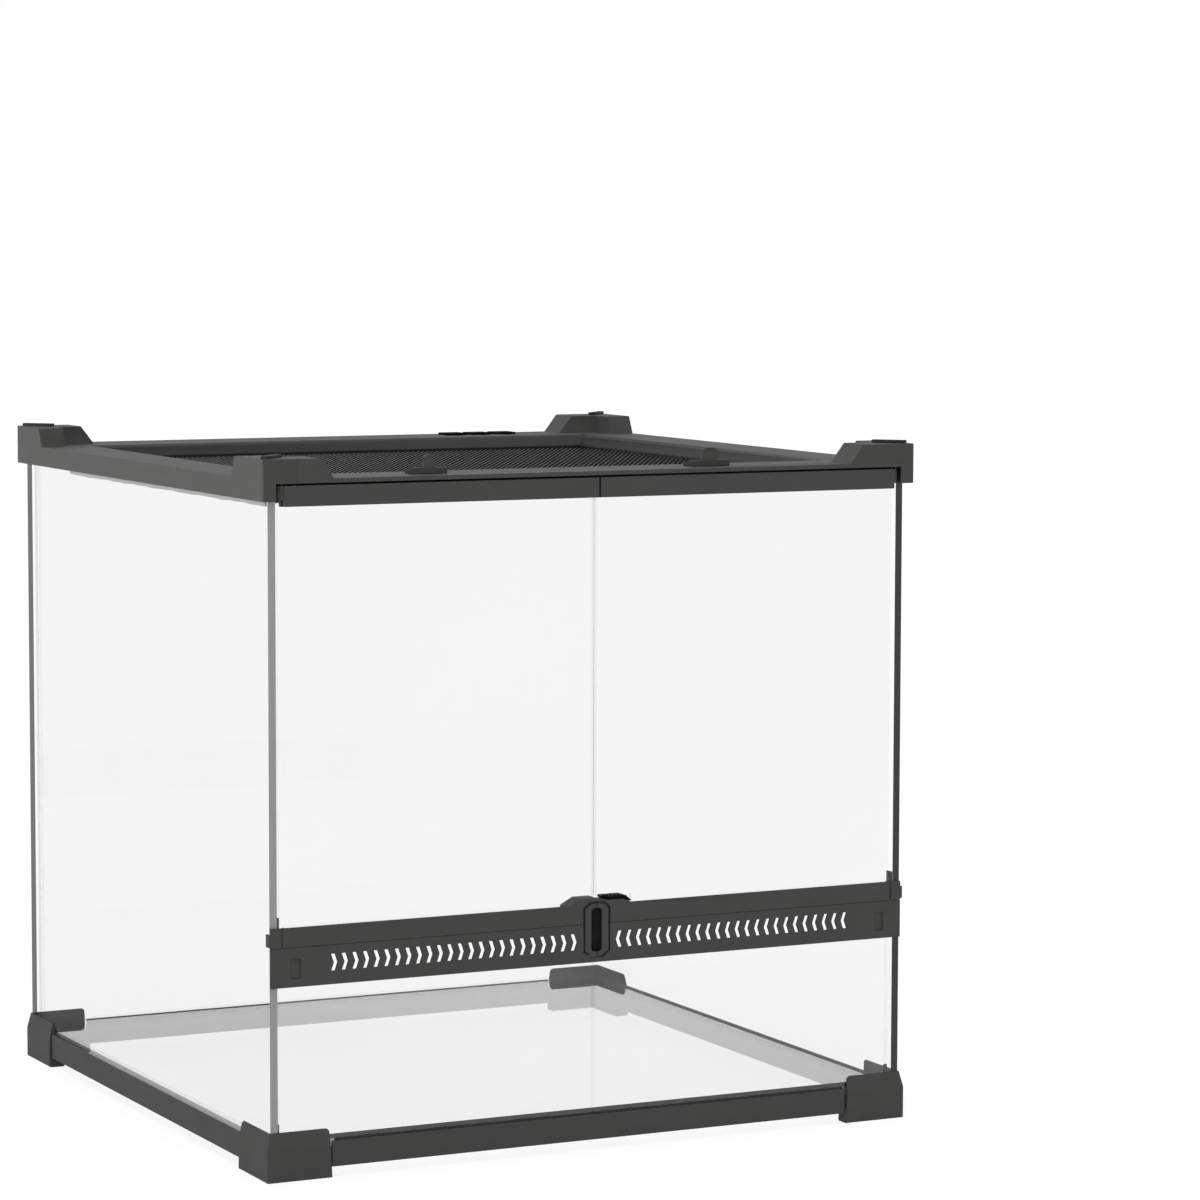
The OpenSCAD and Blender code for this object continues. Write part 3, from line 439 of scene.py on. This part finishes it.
def pane_glass(name, axis, through, edge_tone_and_shade, edge_clear, mirror_share, far_band=None):
    """Float glass: clear through its two broad faces, with a ground edge of a given tone, partly painted
    shade.

    axis is the one across the pane, and a dark band covers the part of it behind far_band."""
    made, tree, output = new_material(name)
    coords = add(tree, "ShaderNodeTexCoord").outputs
    place = coords["Object"]
    backfacing = add(tree, "ShaderNodeNewGeometry").outputs["Backfacing"]
    entering = maths(tree, "SUBTRACT", 1.0, backfacing)
    # The edge shows only from outside: through a broad face, refraction hides it
    facing = maths(tree, "ABSOLUTE", parts_of(tree, coords["Normal"])[axis])
    is_edge = product(tree, below(tree, facing, 0.5), entering)
    # Both faces of a pane mirror: together 2F / (1 + F), given by the face that light enters
    mirror = add(tree, "ShaderNodeFresnel", {"IOR": GLASS_IOR}).outputs["Fac"]
    both = maths(tree, "DIVIDE", product(tree, mirror, 2.0), maths(tree, "ADD", mirror, 1.0))
    gloss_share = product(tree, product(tree, both, entering), mirror_share)
    film = uneven(tree, noise(tree, place, scale=6.0, detail=3.0), through - 0.002, through + 0.002)
    if far_band:
        away = parts_of(tree, place)["Y"]
        shade = ranged(tree, away, 0.0, FAR_BAND_SHADE, far_band, far_band + 0.3 * MM)
        film = product(tree, film, maths(tree, "SUBTRACT", 1.0, product(tree, shade, entering)))
    clear = add(tree, "ShaderNodeBsdfTransparent", {"Color": grey(tree, film)})
    gloss = add(tree, "ShaderNodeBsdfGlossy", {"Color": (1, 1, 1, 1), "Roughness": 0.02})
    broad = add(tree, "ShaderNodeMixShader", {0: gloss_share, 1: clear.outputs[0], 2: gloss.outputs[0]})
    cut = add(tree, "ShaderNodeBsdfPrincipled", {
        "Base Color": rgba(edge_tone_and_shade), "Roughness": 0.3,
        "Normal": bumped(tree, noise(tree, place, scale=900.0), strength=0.3, depth=0.00004)})
    veil = add(tree, "ShaderNodeBsdfTransparent", {"Color": (0.93, 0.94, 0.94, 1)})
    edge = add(tree, "ShaderNodeMixShader", {0: edge_clear, 1: cut.outputs[0], 2: veil.outputs[0]})
    whole = add(tree, "ShaderNodeMixShader", {0: is_edge, 1: broad.outputs[0], 2: edge.outputs[0]})
    tree.links.new(whole.outputs[0], output.inputs["Surface"])
    return made


# Pieces

def linked(name, data):
    """An object with that data, in the scene."""
    made = bpy.data.objects.new(name, data)
    bpy.context.scene.collection.objects.link(made)
    return made


def new_piece(name, mesh, node):
    """Links a finished mesh as a piece that stands for a CAD node and moves with its body."""
    piece = linked(name, mesh)
    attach(piece, BODY_OF[node])
    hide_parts(node)


def finished_mesh(name, bm, material):
    """The mesh of a bmesh, with one material."""
    mesh = bpy.data.meshes.new(name)
    bm.to_mesh(mesh)
    bm.free()
    mesh.materials.append(material)
    return mesh


def plain_mesh(rough):
    """The mesh that an object's modifiers give. The object itself goes."""
    made = bpy.data.meshes.new_from_object(rough.evaluated_get(bpy.context.evaluated_depsgraph_get()))
    bpy.data.objects.remove(rough)
    return made


def edge_has_room(edge, width):
    """True if a rounding of that width fits on both faces and at both ends of the edge."""
    for vertex in edge.verts:
        for other in vertex.link_edges:
            if other is not edge and other.calc_length() < ROOM_SHARE * width:
                return False
    length = edge.calc_length()
    return all(face.calc_area() / length > ROOM_SHARE * width for face in edge.link_faces)


def rounded(node, radius, material, post_radius=None, sharp_zone=0.0):
    """Replaces a CAD node with a copy whose sharp outer edges are rounded, as a mould leaves them.

    The upright edges at its outer corners may be rounder, and edges nearer the middle than
    sharp_zone stay sharp."""
    largest = max(radius, post_radius or 0.0) * MM
    low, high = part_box(node)
    mesh = NODES[node].data.copy()
    bm = bmesh.new()
    bm.from_mesh(mesh)
    bmesh.ops.remove_doubles(bm, verts=bm.verts, dist=JOIN_GAP)
    bmesh.ops.dissolve_limit(bm, angle_limit=FLAT_ANGLE, verts=bm.verts, edges=bm.edges)
    bmesh.ops.connect_verts_concave(bm, faces=bm.faces)
    weight = bm.edges.layers.float.new("bevel_weight_edge")
    for edge in bm.edges:
        first, last = edge.verts
        middle = (first.co + last.co) / 2
        sharp = edge.is_manifold and edge.calc_face_angle(0.0) > SHARP_ANGLE
        if not (sharp and edge.is_convex) or abs(middle.x) < sharp_zone:
            continue
        at_corner = (min(middle.x - low.x, high.x - middle.x) < MM
                     and min(middle.y - low.y, high.y - middle.y) < MM)
        upright = at_corner and abs(first.co.z - last.co.z) > POST_HEIGHT
        width = post_radius * MM if post_radius and upright else radius * MM
        if edge_has_room(edge, width):
            edge[weight] = width / largest
    for face in bm.faces:
        face.smooth = True
    bm.to_mesh(mesh)
    bm.free()
    mesh.set_sharp_from_angle(angle=SHARP_ANGLE)
    mesh.materials.clear()
    mesh.materials.append(material)
    rough = linked("rough_" + node, mesh)
    bevel = rough.modifiers.new("Rounding", "BEVEL")
    bevel.width = largest
    bevel.segments = ROUNDING_STEPS
    bevel.limit_method = "WEIGHT"
    bevel.use_clamp_overlap = False
    bevel.harden_normals = True
    new_piece(node + "_moulding", plain_mesh(rough), node)


def finish_node(node, material):
    """Gives a CAD node's own object a better material."""
    for slot in NODES[node].material_slots:
        slot.material = material


def finishes():
    """The materials that several pieces share, by material slot, each made once."""
    props = bpy.context.scene.terrarium_finish
    grain = props.grain
    recipes = {
        "graphite_plastic": (moulded_plastic, props.plastic, dict(grain=grain)),
        "black_plastic": (moulded_plastic, props.black,
                          dict(grain=grain, roughness=0.6, depth=0.00003, shine=0.01)),
        "screen_paint": (moulded_plastic, props.black,
                         dict(grain=grain, roughness=0.5, depth=0.00003, shine=0.15)),
        "pin_steel": (moulded_plastic, props.black,
                      dict(grain=grain, roughness=0.4, depth=0.00002, shine=0.2)),
        "pad_rubber": (soft_rubber, props.rubber, dict(roughness=0.7)),
        "silicone": (soft_rubber, props.black, dict(roughness=0.5)),
        "grey_seal": (soft_rubber, GREY_SEAL, dict(roughness=0.5)),
        "upper_wire": (painted_wire, props.upper_wire, {}),
        # The lower wires are a dark copy of the same wire, painted shade
        "lower_wire": (painted_wire, props.lower_wire, {}),
    }
    looks = {}
    for slot, (make, color, settings) in recipes.items():
        name = slot + "_finish"
        looks[slot] = bpy.data.materials.get(name) or make(name, color, **settings)
    return looks


def block(bm, low, high, chamfer):
    """A block between two corners, with its upright edges chamfered."""
    corners = [(low.x + chamfer, low.y), (high.x - chamfer, low.y), (high.x, low.y + chamfer),
               (high.x, high.y - chamfer), (high.x - chamfer, high.y), (low.x + chamfer, high.y),
               (low.x, high.y - chamfer), (low.x, low.y + chamfer)]
    rings = [[bm.verts.new((x, y, z)) for x, y in corners] for z in (low.z, high.z)]
    bm.faces.new(reversed(rings[0]))
    bm.faces.new(rings[1])
    for index, corner in enumerate(rings[0]):
        after = (index + 1) % len(corners)
        bm.faces.new((corner, rings[0][after], rings[1][after], rings[1][index]))


def notch_ribs(material):
    """Two ribs on the back of the vented strip, one on each side of the handle's notch."""
    strip_low, strip_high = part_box("vent_strip")
    wall_back = strip_low.y + STRIP_WALL
    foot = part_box("glass_front_lower")[1].z + RIB_LIFT
    bm = bmesh.new()
    for inner, outer in ((RIB_INNER, RIB_OUTER), (-RIB_OUTER, -RIB_INNER)):
        block(bm, Vector((inner, wall_back, foot)), Vector((outer, wall_back + RIB_DEPTH, strip_high.z)),
              RIB_CHAMFER)
    piece = linked("notch_ribs", finished_mesh("notch_ribs", bm, material))
    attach(piece, BODY_OF["vent_strip"])


class TERRARIUM_OT_mouldings(bpy.types.Operator):
    """Round the edges of the base, the top frame and the vented strip"""
    bl_idname = "terrarium.mouldings"
    bl_label = "Tank Mouldings"

    def execute(self, context):
        looks = finishes()
        for node, radius in TANK_MOULDINGS.items():
            rounded(node, radius, looks[SLOT_OF[node]],
                    post_radius=POST_RADIUS if node == "top_frame" else None,
                    sharp_zone=HANDLE_ROOM if node == "vent_strip" else 0.0)
        notch_ribs(looks[SLOT_OF["vent_strip"]])
        return {"FINISHED"}


class TERRARIUM_OT_glass(bpy.types.Operator):
    """Give the panes clear faces and ground edges, and finish the silicone beads"""
    bl_idname = "terrarium.glass"
    bl_label = "Panes and Silicone"

    def execute(self, context):
        looks = finishes()
        through = context.scene.terrarium_finish.glass_pass
        for node, (axis, edge, clear, mirror) in PANES.items():
            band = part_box(node)[1].y - FAR_BAND if node == "glass_left" else None
            tone = [edge * share for share in EDGE_TINT]
            finish_node(node, pane_glass(node + "_finish", axis, through, tone, clear, mirror, band))
        floor_low, floor_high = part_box("floor_glass")
        silicone = sealing_silicone("sealing_silicone", context.scene.terrarium_finish.black,
                                    floor_low.y + BEAD_ROOM, floor_high.z + BEAD_ROOM)
        finish_node("silicone_beads", silicone)
        return {"FINISHED"}


def swelling(share):
    """Width of a bead laid by hand, which swells and shrinks a little along the way."""
    return 1.0 + 0.06 * math.sin(37.0 * share) + 0.04 * math.sin(91.0 * share + 1.0)


def laid_bead(name, start, end, across, rise, material):
    """A bead of silicone along the line from start to end, a quarter round from across to rise."""
    bm = bmesh.new()
    loops = []
    for ring in range(BEAD_RINGS + 1):
        share = ring / BEAD_RINGS
        middle = start.lerp(end, share)
        swell = swelling(share)
        loop = [bm.verts.new(middle)]
        for step in range(BEAD_POINTS):
            turn = math.pi / 2 * step / (BEAD_POINTS - 1)
            loop.append(bm.verts.new(middle + swell * (across * math.cos(turn) + rise * math.sin(turn))))
        loops.append(loop)
    for before, after in zip(loops, loops[1:]):
        for index in range(BEAD_POINTS + 1):
            other = (index + 1) % (BEAD_POINTS + 1)
            bm.faces.new((before[index], before[other], after[other], after[index]))
    bm.faces.new(loops[0])
    bm.faces.new(loops[-1])
    bmesh.ops.recalc_face_normals(bm, faces=bm.faces)
    for face in bm.faces:
        face.smooth = len(face.verts) == 4
    mesh = finished_mesh(name, bm, material)
    mesh.set_sharp_from_angle(angle=BEAD_SHARP_ANGLE)
    piece = linked(name, mesh)
    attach(piece, "tank")


class TERRARIUM_OT_seals(bpy.types.Operator):
    """Lay the black bead on the front rail and the grey seal under the left skirt"""
    bl_idname = "terrarium.seals"
    bl_label = "Outer Seals"

    def execute(self, context):
        looks = finishes()
        rail_low, rail_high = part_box("base_rail_front")
        pane_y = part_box("glass_front_lower")[0].y
        depth = RAIL_SEAL_SHARE * (pane_y - rail_low.y)
        laid_bead("rail_seal_front",
                  Vector((rail_low.x + RAIL_SEAL_INSET, pane_y, rail_high.z)),
                  Vector((rail_high.x - RAIL_SEAL_INSET, pane_y, rail_high.z)),
                  Vector((0, -depth, 0)), Vector((0, 0, SEAL_RISE)), looks["silicone"])
        pane_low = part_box("glass_left")[0]
        skirt_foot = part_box("top_frame")[0].z
        laid_bead("skirt_seal_left",
                  Vector((pane_low.x, pane_low.y + MM, skirt_foot)),
                  Vector((pane_low.x, SKIRT_SEAL_END, skirt_foot)),
                  Vector((-SEAL_RISE, 0, 0)), Vector((0, 0, -SKIRT_SEAL_DROP)), looks["grey_seal"])
        return {"FINISHED"}


class TERRARIUM_OT_doors(bpy.types.Operator):
    """Round the door rails and bars and the bolt, and finish the hinge pins"""
    bl_idname = "terrarium.doors"
    bl_label = "Door Fittings"

    def execute(self, context):
        looks = finishes()
        props = context.scene.terrarium_finish
        rail_low, rail_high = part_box("door_head_rail_left")
        rail_depth = (rail_low.y - MM, rail_high.y + MM)
        # The outer end of each head rail is coloured black below the foot of the top frame
        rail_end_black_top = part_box("top_frame")[0].z + MM / 2
        rail_end_black = ((-rail_low.x - RAIL_END_BLACK_W, FAR), rail_depth, (0.0, rail_end_black_top), props.black)
        # Painted shade along the doors' split on the head rails
        split = ((-FAR, SPLIT_SHADE), rail_depth, (0.0, FAR), props.black)
        bar_low, bar_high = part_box("door_bar_left")
        # Painted shade: the walls of the finger pocket are darkened where shade falls in the recess
        pocket = ((-FAR, POCKET_W), (bar_low.y + MM, bar_low.y + POCKET_DEPTH),
                  (bar_low.z + POCKET_FOOT, bar_high.z - POCKET_TOP), POCKET_SHADE)
        own = {
            "door_head_rail": moulded_plastic(
                "head_rail_finish", props.plastic, props.grain, dark_parts_and_shade=(rail_end_black, split)),
            "door_bar": moulded_plastic(
                "door_bar_finish", props.plastic, props.grain, dark_parts_and_shade=(pocket,)),
        }
        for node, radius in DOOR_MOULDINGS.items():
            look = own.get(node.rpartition("_")[0], looks[SLOT_OF[node]])
            rounded(node, radius, look, sharp_zone=SPLIT_ROOM)
        for node in NODES:
            if node.startswith("hinge_pin"):
                finish_node(node, looks["pin_steel"])
        return {"FINISHED"}


def wire_tree():
    """Geometry nodes that draw one set of parallel wires, on the bias, inside a rectangle."""
    tree = bpy.data.node_groups.new("Screen Wires", "GeometryNodeTree")
    for name in ("Width", "Depth", "Height", "Pitch", "Wire", "Bias"):
        tree.interface.new_socket(name, in_out="INPUT", socket_type="NodeSocketFloat")
    tree.interface.new_socket("Material", in_out="INPUT", socket_type="NodeSocketMaterial")
    tree.interface.new_socket("Geometry", in_out="OUTPUT", socket_type="NodeSocketGeometry")
    given = tree.nodes.new("NodeGroupInput").outputs
    result = tree.nodes.new("NodeGroupOutput")

    # A square grid, a little wider than the diagonal of a square screen
    reach = product(tree, maths(tree, "ADD", given["Width"], given["Depth"]), FIELD_SHARE)
    cells = maths(tree, "ROUND", maths(tree, "DIVIDE", reach, given["Pitch"]))
    even = product(tree, maths(tree, "ROUND", maths(tree, "DIVIDE", cells, 2.0)), 2.0)
    side = product(tree, even, given["Pitch"])
    count = add(tree, "FunctionNodeFloatToInt", {0: maths(tree, "ADD", even, 1.0)}).outputs[0]
    grid = add(tree, "GeometryNodeMeshGrid", {
        "Size X": side, "Size Y": side, "Vertices X": count, "Vertices Y": count})

    # Only its lines along X stay
    ends = add(tree, "GeometryNodeInputMeshEdgeVertices").outputs
    run = add(tree, "ShaderNodeVectorMath", {
        0: ends["Position 1"], 1: ends["Position 2"]}, operation="SUBTRACT")
    drift = maths(tree, "ABSOLUTE", parts_of(tree, run.outputs[0])["Y"])
    crossing = maths(tree, "GREATER_THAN", drift, product(tree, given["Pitch"], 0.5))
    lines = add(tree, "GeometryNodeDeleteGeometry", {
        "Geometry": grid.outputs["Mesh"], "Selection": crossing}, domain="EDGE", mode="EDGE_FACE")

    # Turned to the bias and cut off at the frame
    turned = add(tree, "GeometryNodeTransform", {
        "Geometry": lines.outputs[0],
        "Translation": add(tree, "ShaderNodeCombineXYZ", {"Z": given["Height"]}).outputs[0],
        "Rotation": add(tree, "ShaderNodeCombineXYZ", {"Z": given["Bias"]}).outputs[0]})
    here = parts_of(tree, add(tree, "GeometryNodeInputPosition").outputs[0])
    beyond = [
        maths(tree, "GREATER_THAN", maths(tree, "ABSOLUTE", here[axis]), product(tree, given[room], 0.5))
        for axis, room in (("X", "Width"), ("Y", "Depth"))]
    trimmed = add(tree, "GeometryNodeDeleteGeometry", {
        "Geometry": turned.outputs[0], "Selection": maths(tree, "MAXIMUM", *beyond)}, domain="POINT")

    # Wires along the lines
    curve = add(tree, "GeometryNodeMeshToCurve", {"Mesh": trimmed.outputs[0]})
    section = add(tree, "GeometryNodeCurvePrimitiveCircle", {
        "Resolution": WIRE_SIDES, "Radius": product(tree, given["Wire"], 0.5)})
    wires = add(tree, "GeometryNodeCurveToMesh", {
        "Curve": curve.outputs[0], "Profile Curve": section.outputs[0], "Fill Caps": True})
    real = add(tree, "GeometryNodeRealizeInstances", {0: wires.outputs[0]})
    finished = add(tree, "GeometryNodeSetMaterial", {
        "Geometry": real.outputs[0], "Material": given["Material"]})
    tree.links.new(finished.outputs[0], result.inputs["Geometry"])
    return tree


def baked_nodes(name, tree, values):
    """The plain mesh that a tree gives with these values."""
    holder = linked(name, bpy.data.meshes.new(name))
    modifier = holder.modifiers.new("Shape", "NODES")
    modifier.node_group = tree
    sockets = {item.name: item.identifier
               for item in tree.interface.items_tree if item.in_out == "INPUT"}
    for key, value in values.items():
        modifier[sockets[key]] = value
    made = plain_mesh(holder)
    if not made.polygons:
        raise RuntimeError(name + " came out empty")
    return made


class TERRARIUM_OT_screen(bpy.types.Operator):
    """Lay the screen's two sets of wires and round the edges of its frame"""
    bl_idname = "terrarium.screen"
    bl_label = "Wire Screen"

    def execute(self, context):
        looks = finishes()
        sizes = context.scene.terrarium_screen
        low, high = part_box("screen_mesh")
        tree = wire_tree()
        middle = (low.z + high.z) / 2
        # The lower set is the same wire in a near-black colour, painted shade for the dark gaps under
        # the upper set
        for name, bias, level, look in (
                ("screen_wires_upper", sizes.turn, middle + sizes.wire / 2, "upper_wire"),
                ("screen_wires_lower", sizes.turn + math.pi / 2, middle - sizes.wire / 2, "lower_wire")):
            mesh = baked_nodes(name, tree, {
                "Width": high.x - low.x + 2 * sizes.lap,
                "Depth": high.y - low.y + 2 * sizes.lap,
                "Height": level,
                "Pitch": sizes.pitch,
                "Wire": sizes.wire,
                "Bias": bias,
                "Material": looks[look]})
            for face in mesh.polygons:
                face.use_smooth = True
            new_piece(name, mesh, "screen_mesh")
        rounded("screen_frame", SCREEN_FRAME_RADIUS, looks["screen_paint"])
        return {"FINISHED"}


class TERRARIUM_OT_fittings(bpy.types.Operator):
    """Round the latches, the cable shutters and the stacking pads"""
    bl_idname = "terrarium.fittings"
    bl_label = "Small Fittings"

    def execute(self, context):
        looks = finishes()
        for node, radius in SMALL_MOULDINGS.items():
            rounded(node, radius, looks[SLOT_OF[node]])
        return {"FINISHED"}


# Stage

def seen_directly(tree):
    """1 for rays from the camera, a mirror or clear glass, and 0 for light."""
    path = add(tree, "ShaderNodeLightPath").outputs
    first = maths(tree, "MAXIMUM", path["Is Camera Ray"], path["Is Glossy Ray"])
    return maths(tree, "MAXIMUM", first, path["Is Transmission Ray"])


def white_floor(glow):
    """Pale floor that shows white to the camera and keeps a soft shadow."""
    made, tree, output = new_material("pale_floor")
    place = add(tree, "ShaderNodeTexCoord").outputs["Object"]
    shade = ranged(tree, noise(tree, place, scale=3.0), 0.83, 0.85)
    matte = add(tree, "ShaderNodeBsdfDiffuse", {"Color": grey(tree, shade)})
    dim = add(tree, "ShaderNodeBsdfDiffuse", {"Color": (0.2, 0.2, 0.2, 1)})
    lit = add(tree, "ShaderNodeEmission", {"Color": (1, 1, 1, 1), "Strength": glow})
    shown = add(tree, "ShaderNodeAddShader", {0: dim.outputs[0], 1: lit.outputs[0]})
    whole = add(tree, "ShaderNodeMixShader", {
        0: seen_directly(tree), 1: matte.outputs[0], 2: shown.outputs[0]})
    tree.links.new(whole.outputs[0], output.inputs["Surface"])
    return made


def even_sky(ambient):
    """White on all sides, which lights the terrarium a little less than it shows."""
    world = bpy.data.worlds.new("studio")
    world.use_nodes = True
    tree = world.node_tree
    tree.nodes.clear()
    strength = ranged(tree, seen_directly(tree), ambient, 1.0)
    sky = add(tree, "ShaderNodeBackground", {"Color": (1, 1, 1, 1), "Strength": strength})
    output = add(tree, "ShaderNodeOutputWorld")
    tree.links.new(sky.outputs[0], output.inputs["Surface"])
    return world


def hung_lamp(name, kind, strength, aim, place=(0, 0, 0)):
    """A lamp that lies in the direction aim and shines back along it."""
    lamp = bpy.data.lights.new(name, kind)
    lamp.energy = strength
    turn = Vector(aim).to_track_quat("Z", "Y").to_matrix().to_4x4()
    linked(name, lamp).matrix_world = Matrix.Translation(place) @ turn
    return lamp


def set_camera(lens, place):
    """A camera at that place, turned to the front left corner."""
    data = bpy.data.cameras.new("camera")
    data.lens = lens
    data.sensor_width = SENSOR_W
    data.clip_start = 0.1
    data.clip_end = 200.0
    camera = linked("camera", data)
    turn = Matrix((CAMERA_RIGHT, CAMERA_UP, CAMERA_BACK)).transposed()
    camera.matrix_world = Matrix.Translation(place) @ turn.to_4x4()
    return camera


class TERRARIUM_OT_stage(bpy.types.Operator):
    """Set up the floor, the lamps and the camera"""
    bl_idname = "terrarium.stage"
    bl_label = "Stage"

    def execute(self, context):
        props = context.scene.terrarium_stage
        bm = bmesh.new()
        bmesh.ops.create_grid(bm, x_segments=1, y_segments=1, size=FLOOR_HALF)
        floor = linked("floor", finished_mesh("floor", bm, white_floor(props.floor_glow)))
        context.scene.world = even_sky(props.ambient)
        key = hung_lamp("key", "SUN", props.key, KEY_AIM)
        key.angle = KEY_ANGLE
        # Its narrow beam lights the left faces of the top frame, and neither those of the base nor the
        # walls of the screen well
        side = hung_lamp("side", "AREA", props.side, SIDE_AIM, SIDE_PLACE)
        side.shape = "RECTANGLE"
        side.size = SIDE_LENGTH
        side.size_y = SIDE_HEIGHT
        side.spread = SIDE_BEAM
        context.scene.camera = set_camera(props.lens, props.place)
        context.scene.view_settings.view_transform = "Standard"
        return {"FINISHED"}


class TERRARIUM_PT_panel(bpy.types.Panel):
    """Sizes, colours and steps of the terrarium"""
    bl_label = "Terrarium"
    bl_idname = "TERRARIUM_PT_panel"
    bl_space_type = "VIEW_3D"
    bl_region_type = "UI"
    bl_category = "Terrarium"

    def draw(self, context):
        for group in GROUPS:
            box = self.layout.box()
            props = getattr(context.scene, group)
            for name in props.__annotations__:
                box.prop(props, name)
        for step in OPERATORS:
            self.layout.operator(step.bl_idname)


OPERATORS = (
    TERRARIUM_OT_mouldings, TERRARIUM_OT_glass, TERRARIUM_OT_seals, TERRARIUM_OT_doors,
    TERRARIUM_OT_screen, TERRARIUM_OT_fittings, TERRARIUM_OT_stage,
)
GROUPS = {
    "terrarium_finish": TerrariumFinish,
    "terrarium_screen": TerrariumScreen,
    "terrarium_stage": TerrariumStage,
}


def register():
    for cls in (*GROUPS.values(), *OPERATORS, TERRARIUM_PT_panel):
        bpy.utils.register_class(cls)
    for name, cls in GROUPS.items():
        setattr(bpy.types.Scene, name, bpy.props.PointerProperty(type=cls))


def unregister():
    for name in GROUPS:
        delattr(bpy.types.Scene, name)
    for cls in (TERRARIUM_PT_panel, *reversed(OPERATORS), *GROUPS.values()):
        bpy.utils.unregister_class(cls)


def main():
    register()
    for step in OPERATORS:
        group, name = step.bl_idname.split(".")
        getattr(getattr(bpy.ops, group), name)()


if __name__ == "__main__":
    main()
